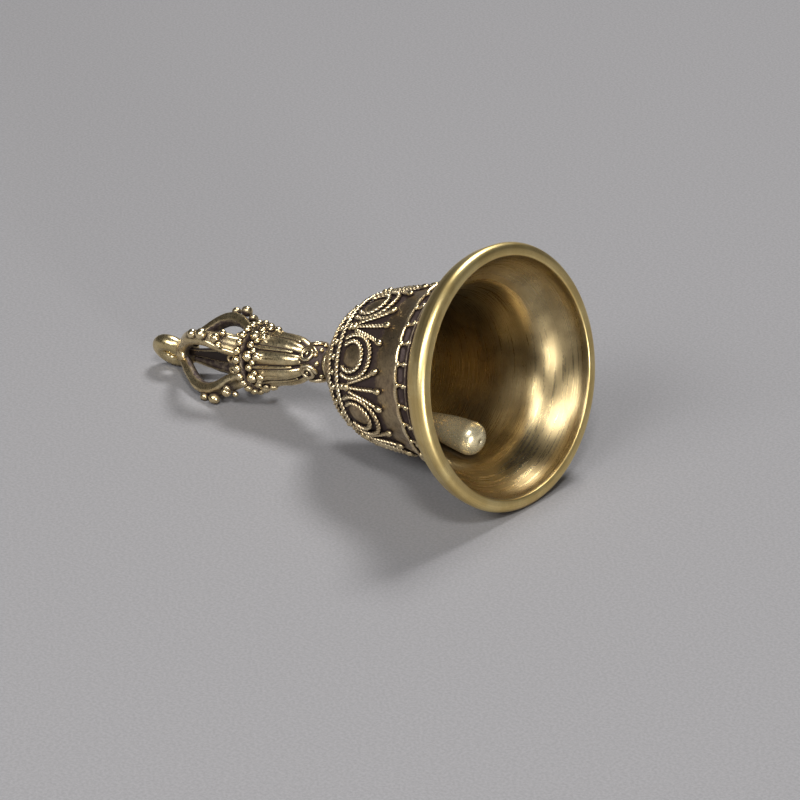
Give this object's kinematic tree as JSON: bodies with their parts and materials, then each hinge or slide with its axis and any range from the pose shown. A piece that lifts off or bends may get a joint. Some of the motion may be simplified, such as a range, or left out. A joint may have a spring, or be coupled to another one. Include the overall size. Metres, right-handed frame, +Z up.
{
  "type": "puja hand bell",
  "caption": "Small brass puja bell with applied rope-wire petals, a ladder band, a vajra handle with a hanging eye, and a tongue hung on a link inside.",
  "frame": {"origin": "centre of the footprint's box on the floor, with the bell lying on its side as it is put down", "axes": "+X runs from the hanging eye to the mouth along the floor, +Z is up, +Y completes a right-handed frame; the bell's own axis lies in the XZ plane and rises 13.60 degrees towards the mouth"},
  "size_m": [0.0497, 0.026, 0.0254],
  "materials": {
    "bell_brass": "satin brass with a brown antique patina, brushed inside",
    "rope_wire": "twisted wire, polished on its crests and dark in its grooves",
    "granules": "polished granules with dark patina round their feet",
    "handle_brass": "cast brass, worn bright on the ridges and dark in the hollows",
    "loop_brass": "smooth cast brass with a soft polish",
    "dark_brass": "cast brass under a near-black patina",
    "plain_wire": "drawn wire and sheet, dulled with age",
    "polished_brass": "bright polish with fine file marks"
  },
  "bodies": {
    "bell": {"bell_shell": "bell_brass", "inner_washer": "plain_wire", "handle_tang": "plain_wire", "crown_collar": "handle_brass", "upper_rope_ring": "rope_wire", "lower_rope_ring": "rope_wire", "crown_granules": "granules", "outer_petal_wires": "rope_wire", "inner_petal_wires": "rope_wire", "petal_corner_granules": "granules", "fan_wires": "rope_wire", "fan_tip_beads": "granules", "band_upper_wire": "rope_wire", "band_lower_wire": "rope_wire", "band_rungs": "rope_wire", "band_granules": "granules", "neck_knob": "handle_brass", "neck_scroll_rings": "rope_wire", "neck_scroll_granules": "granules", "lotus_calyx": "handle_brass", "lotus_tip_beads": "granules", "pearl_collar": "handle_brass", "pearl_collar_beads": "granules", "vajra_hub": "handle_brass", "vajra_prong_1": "handle_brass", "vajra_prong_2": "handle_brass", "vajra_prong_3": "handle_brass", "vajra_prong_4": "handle_brass", "prong_beads": "granules", "centre_spike": "dark_brass", "apex_cap": "handle_brass", "suspension_loop": "loop_brass", "clapper_staple": "plain_wire"},
    "link": {"clapper_link": "plain_wire"},
    "clapper": {"clapper_eye": "plain_wire", "clapper_tongue": "polished_brass"}
  },
  "joints": [
    {"name": "link_swing", "type": "hinge", "parent": "bell", "child": "link", "pos_m": [0.00317, 0, 0.00827], "axis": [-0.0286, -0.9925, 0.1185], "range_deg": [0, 35]},
    {"name": "tongue_swing", "type": "hinge", "parent": "link", "child": "clapper", "pos_m": [0.00709, -0.00048, 0.00521], "axis": [-0.0286, -0.9925, 0.1185], "range_deg": [0, 25]}
  ]
}
